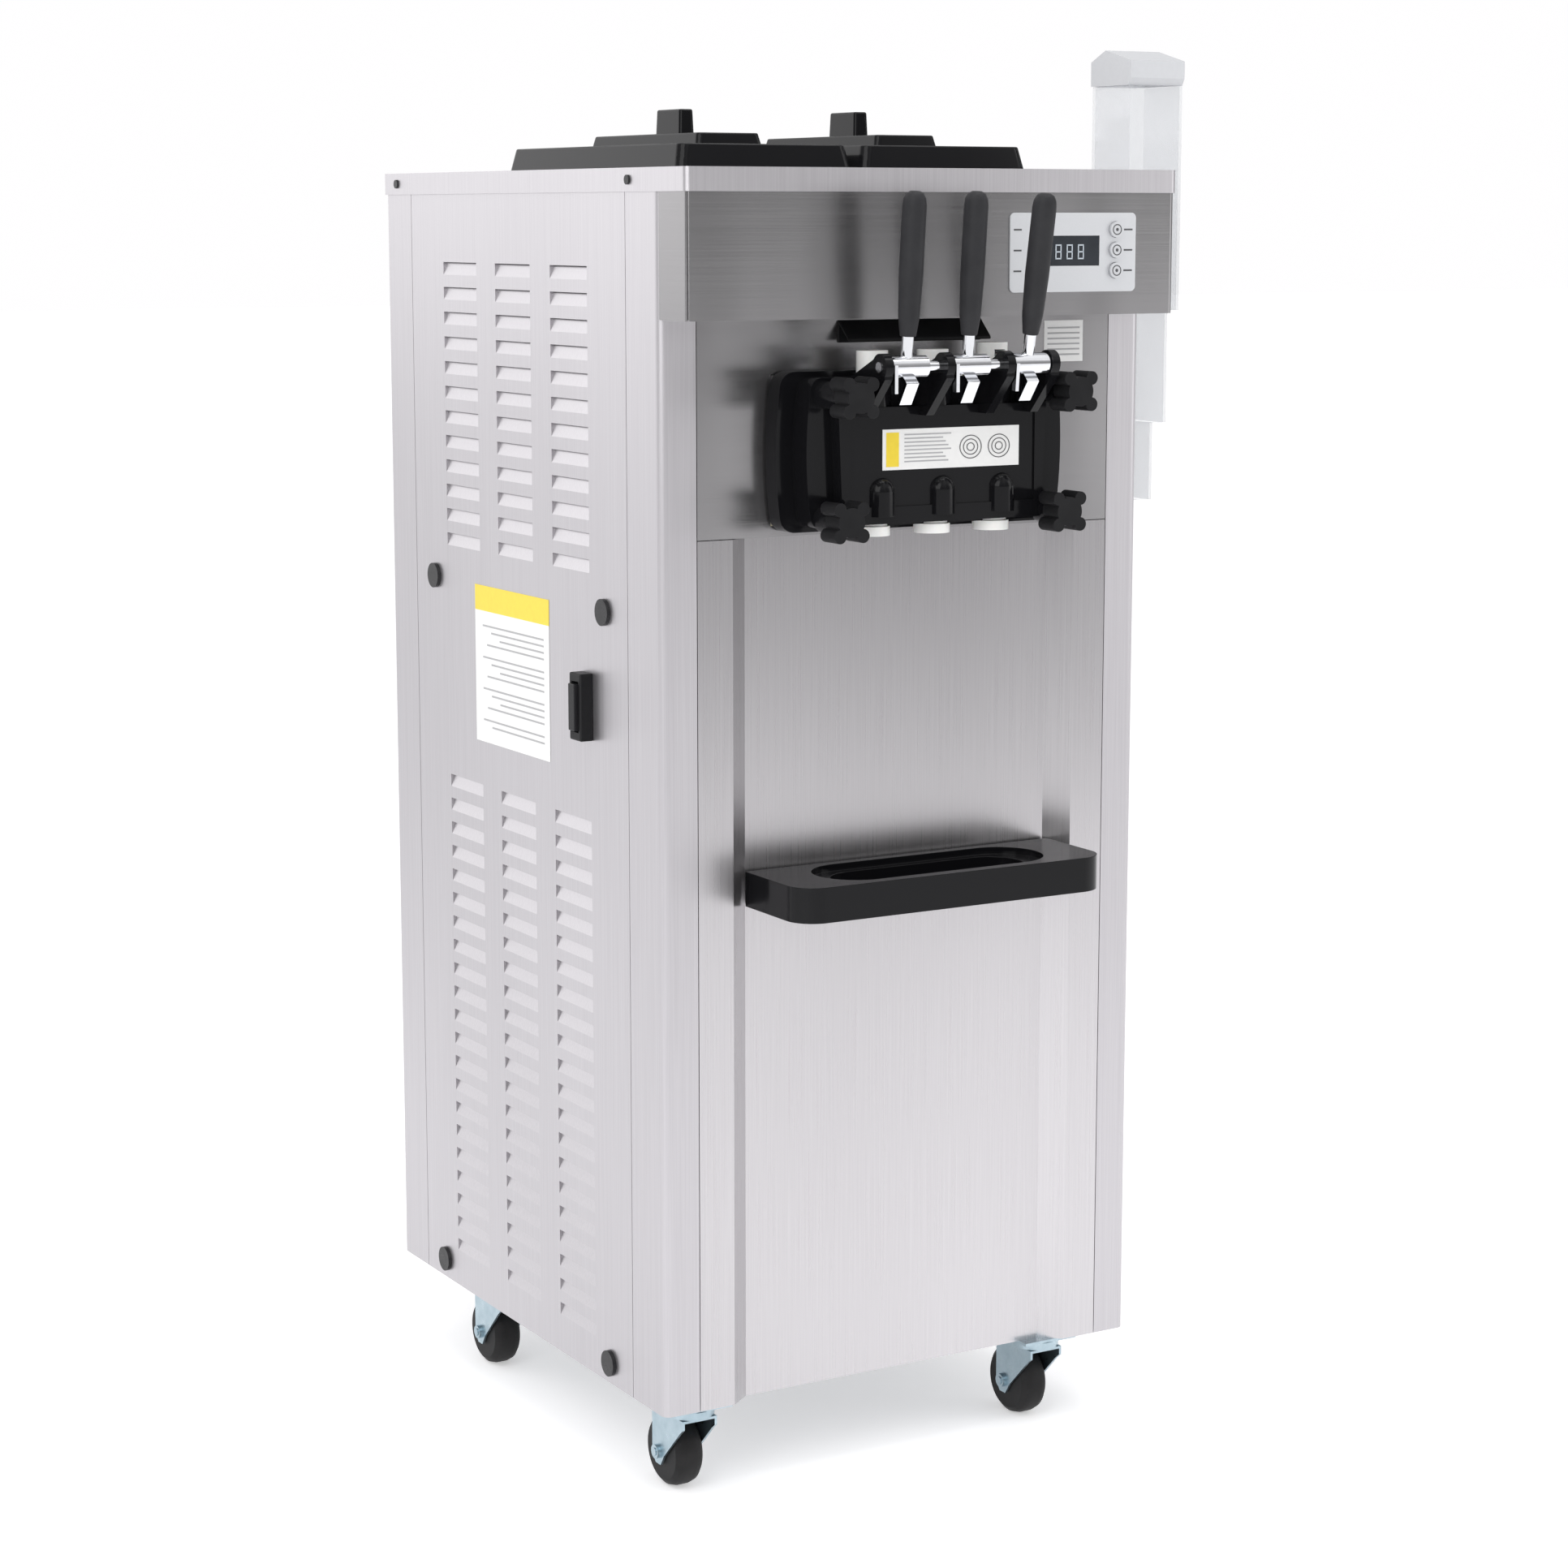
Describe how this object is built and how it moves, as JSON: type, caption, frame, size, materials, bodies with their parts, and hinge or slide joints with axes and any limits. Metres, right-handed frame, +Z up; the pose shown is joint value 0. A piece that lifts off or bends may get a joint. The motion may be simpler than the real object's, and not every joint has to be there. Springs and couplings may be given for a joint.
{
  "type": "soft serve machine",
  "caption": "Floor-standing soft serve freezer with draw levers, twin lidded hoppers, a drip tray, a side cone dispenser and swivel castors.",
  "frame": {"origin": "middle of the whole machine's footprint on the floor", "axes": "+Z up, +Y to the rear, +X to the right seen from the front"},
  "size_m": [0.628, 0.761, 1.3973],
  "materials": {
    "brushed_steel": "brushed, fine horizontal grain",
    "dark_steel": "brushed, darker reflection",
    "food_steel": "satin",
    "zinc": "bright zinc plate, bluish",
    "frame_steel": "galvanised sheet",
    "screw_black": "black",
    "chrome": "polished",
    "black_gloss": "glossy black",
    "black_matte": "fine grain",
    "grip_plastic": "satin dark grey",
    "white_plastic": "satin white",
    "foam": "closed foam",
    "seal_rubber": "food-grade seal",
    "wheel_rubber": "moulded black",
    "motor_paint": "grey enamel",
    "compressor_paint": "black enamel",
    "fin_aluminium": "fine fins",
    "panel_aluminium": "silver anodised",
    "display_glass": "dark window",
    "button_plastic": "silver",
    "clear_plastic": "clear",
    "grey_plastic": "pale grey"
  },
  "bodies": {
    "cabinet": {"base_frame": "frame_steel", "corner_posts": "brushed_steel", "side_panel_left": "brushed_steel", "side_panel_right": "brushed_steel", "rear_panel": "brushed_steel", "front_panel": "brushed_steel", "middle_panel": "dark_steel", "hood": "dark_steel", "top_cap": "brushed_steel", "case_screws": "screw_black", "hoppers": "food_steel", "feed_tubes": "white_plastic", "freezing_cylinders": "food_steel", "cylinder_insulation": "foam", "gear_motors": "motor_paint", "dispensing_door": "black_gloss", "door_gaskets": "seal_rubber", "door_pins": "chrome", "nozzles": "white_plastic", "slot_trim": "black_matte", "control_plate": "panel_aluminium", "display_board": "display_glass", "switch_housing": "black_matte", "castor_plates": "zinc", "compressor": "compressor_paint", "condenser": "fin_aluminium", "fan_motor": "motor_paint", "cone_tube": "clear_plastic"},
    "beater_left": {"beater_left": "food_steel"},
    "beater_right": {"beater_right": "food_steel"},
    "fan": {"fan_blade": "black_matte"},
    "rocker": {"switch_rocker": "black_gloss"},
    "drip_tray": {"drip_tray": "black_gloss"},
    "cone_cap": {"cone_cap": "grey_plastic"},
    "lid_left": {"lid_left": "black_gloss"},
    "lid_right": {"lid_right": "black_gloss"},
    "knob_left_low": {"star_knob_left_low": "black_matte"},
    "knob_left_high": {"star_knob_left_high": "black_matte"},
    "knob_right_low": {"star_knob_right_low": "black_matte"},
    "knob_right_high": {"star_knob_right_high": "black_matte"},
    "piston_left": {"valve_piston_left": "white_plastic"},
    "lever_left": {"lever_yoke_left": "chrome", "lever_grip_left": "grip_plastic"},
    "piston_middle": {"valve_piston_middle": "white_plastic"},
    "lever_middle": {"lever_yoke_middle": "chrome", "lever_grip_middle": "grip_plastic"},
    "piston_right": {"valve_piston_right": "white_plastic"},
    "lever_right": {"lever_yoke_right": "chrome", "lever_grip_right": "grip_plastic"},
    "button_top": {"button_top": "button_plastic"},
    "button_middle": {"button_middle": "button_plastic"},
    "button_bottom": {"button_bottom": "button_plastic"},
    "swivel_front_left": {"castor_fork_front_left": "zinc"},
    "wheel_front_left": {"castor_wheel_front_left": "wheel_rubber"},
    "swivel_front_right": {"castor_fork_front_right": "zinc"},
    "wheel_front_right": {"castor_wheel_front_right": "wheel_rubber"},
    "swivel_rear_left": {"castor_fork_rear_left": "zinc"},
    "wheel_rear_left": {"castor_wheel_rear_left": "wheel_rubber"},
    "swivel_rear_right": {"castor_fork_rear_right": "zinc"},
    "wheel_rear_right": {"castor_wheel_rear_right": "wheel_rubber"}
  },
  "joints": [
    {"name": "lever_left_pull", "type": "hinge", "parent": "cabinet", "child": "lever_left", "pos_m": [-0.093, -0.34351, 1.097], "axis": [1, 0, 0], "range_deg": [0, 28]},
    {"name": "piston_left_lift", "type": "slide", "parent": "cabinet", "child": "piston_left", "axis": [0, 0, 1], "range_m": [0, 0.0284]},
    {"name": "lever_middle_pull", "type": "hinge", "parent": "cabinet", "child": "lever_middle", "pos_m": [-0.026, -0.34351, 1.097], "axis": [1, 0, 0], "range_deg": [0, 28]},
    {"name": "piston_middle_lift", "type": "slide", "parent": "cabinet", "child": "piston_middle", "axis": [0, 0, 1], "range_m": [0, 0.0284]},
    {"name": "lever_right_pull", "type": "hinge", "parent": "cabinet", "child": "lever_right", "pos_m": [0.041, -0.34351, 1.097], "axis": [1, 0, 0], "range_deg": [-5, 23]},
    {"name": "piston_right_lift", "type": "slide", "parent": "cabinet", "child": "piston_right", "axis": [0, 0, 1], "range_m": [-0.0053, 0.0235]},
    {"name": "button_top_press", "type": "slide", "parent": "cabinet", "child": "button_top", "axis": [0, 1, 0], "range_m": [0, 0.002], "stiffness_N_per_m": 400, "springref_m": -0.001},
    {"name": "button_middle_press", "type": "slide", "parent": "cabinet", "child": "button_middle", "axis": [0, 1, 0], "range_m": [0, 0.002], "stiffness_N_per_m": 400, "springref_m": -0.001},
    {"name": "button_bottom_press", "type": "slide", "parent": "cabinet", "child": "button_bottom", "axis": [0, 1, 0], "range_m": [0, 0.002], "stiffness_N_per_m": 400, "springref_m": -0.001},
    {"name": "power_rock", "type": "hinge", "parent": "cabinet", "child": "rocker", "pos_m": [-0.309, -0.09051, 0.765], "axis": [0, 1, 0], "range_deg": [-6, 6]},
    {"name": "swivel_front_left", "type": "hinge", "parent": "cabinet", "child": "swivel_front_left", "pos_m": [-0.254, -0.21451, 0.08], "axis": [0, 0, 1], "continuous": true},
    {"name": "roll_front_left", "type": "hinge", "parent": "swivel_front_left", "child": "wheel_front_left", "pos_m": [-0.254, -0.18351, 0.036], "axis": [1, 0, 0], "continuous": true},
    {"name": "swivel_front_right", "type": "hinge", "parent": "cabinet", "child": "swivel_front_right", "pos_m": [0.152, -0.21451, 0.08], "axis": [0, 0, 1], "continuous": true},
    {"name": "roll_front_right", "type": "hinge", "parent": "swivel_front_right", "child": "wheel_front_right", "pos_m": [0.152, -0.18351, 0.036], "axis": [1, 0, 0], "continuous": true},
    {"name": "swivel_rear_left", "type": "hinge", "parent": "cabinet", "child": "swivel_rear_left", "pos_m": [-0.254, 0.19749, 0.08], "axis": [0, 0, 1], "continuous": true},
    {"name": "roll_rear_left", "type": "hinge", "parent": "swivel_rear_left", "child": "wheel_rear_left", "pos_m": [-0.254, 0.22849, 0.036], "axis": [1, 0, 0], "continuous": true},
    {"name": "swivel_rear_right", "type": "hinge", "parent": "cabinet", "child": "swivel_rear_right", "pos_m": [0.152, 0.19749, 0.08], "axis": [0, 0, 1], "continuous": true},
    {"name": "roll_rear_right", "type": "hinge", "parent": "swivel_rear_right", "child": "wheel_rear_right", "pos_m": [0.152, 0.22849, 0.036], "axis": [1, 0, 0], "continuous": true},
    {"name": "knob_left_low_turn", "type": "hinge", "parent": "cabinet", "child": "knob_left_low", "pos_m": [-0.1475, -0.31351, 0.955], "axis": [0, -1, 0], "range_deg": [0, 720]},
    {"name": "knob_left_high_turn", "type": "hinge", "parent": "cabinet", "child": "knob_left_high", "pos_m": [-0.1475, -0.32951, 1.07], "axis": [0, -1, 0], "range_deg": [0, 720]},
    {"name": "knob_right_low_turn", "type": "hinge", "parent": "cabinet", "child": "knob_right_low", "pos_m": [0.0955, -0.31351, 0.955], "axis": [0, -1, 0], "range_deg": [0, 720]},
    {"name": "knob_right_high_turn", "type": "hinge", "parent": "cabinet", "child": "knob_right_high", "pos_m": [0.0955, -0.32951, 1.07], "axis": [0, -1, 0], "range_deg": [0, 720]},
    {"name": "lid_left_lift", "type": "slide", "parent": "cabinet", "child": "lid_left", "axis": [0, 0, 1], "range_m": [0, 0.2]},
    {"name": "lid_right_lift", "type": "slide", "parent": "cabinet", "child": "lid_right", "axis": [0, 0, 1], "range_m": [0, 0.2]},
    {"name": "tray_pull", "type": "slide", "parent": "cabinet", "child": "drip_tray", "axis": [0, -1, 0], "range_m": [0, 0.1]},
    {"name": "beater_left_spin", "type": "hinge", "parent": "cabinet", "child": "beater_left", "pos_m": [-0.106, -0.09251, 1.017], "axis": [0, -1, 0], "continuous": true},
    {"name": "beater_right_spin", "type": "hinge", "parent": "cabinet", "child": "beater_right", "pos_m": [0.054, -0.09251, 1.017], "axis": [0, -1, 0], "continuous": true},
    {"name": "fan_spin", "type": "hinge", "parent": "cabinet", "child": "fan", "pos_m": [-0.227, 0.02749, 0.255], "axis": [1, 0, 0], "continuous": true},
    {"name": "cone_cap_open", "type": "hinge", "parent": "cabinet", "child": "cone_cap", "pos_m": [0.281, -0.14601, 1.3643], "axis": [-1, 0, 0], "range_deg": [0, 100]}
  ],
  "couplings": [
    {"joint": "piston_left_lift", "follows": "lever_left_pull", "m_per_rad": 0.0576},
    {"joint": "piston_middle_lift", "follows": "lever_middle_pull", "m_per_rad": 0.0576},
    {"joint": "piston_right_lift", "follows": "lever_right_pull", "m_per_rad": 0.0576}
  ]
}
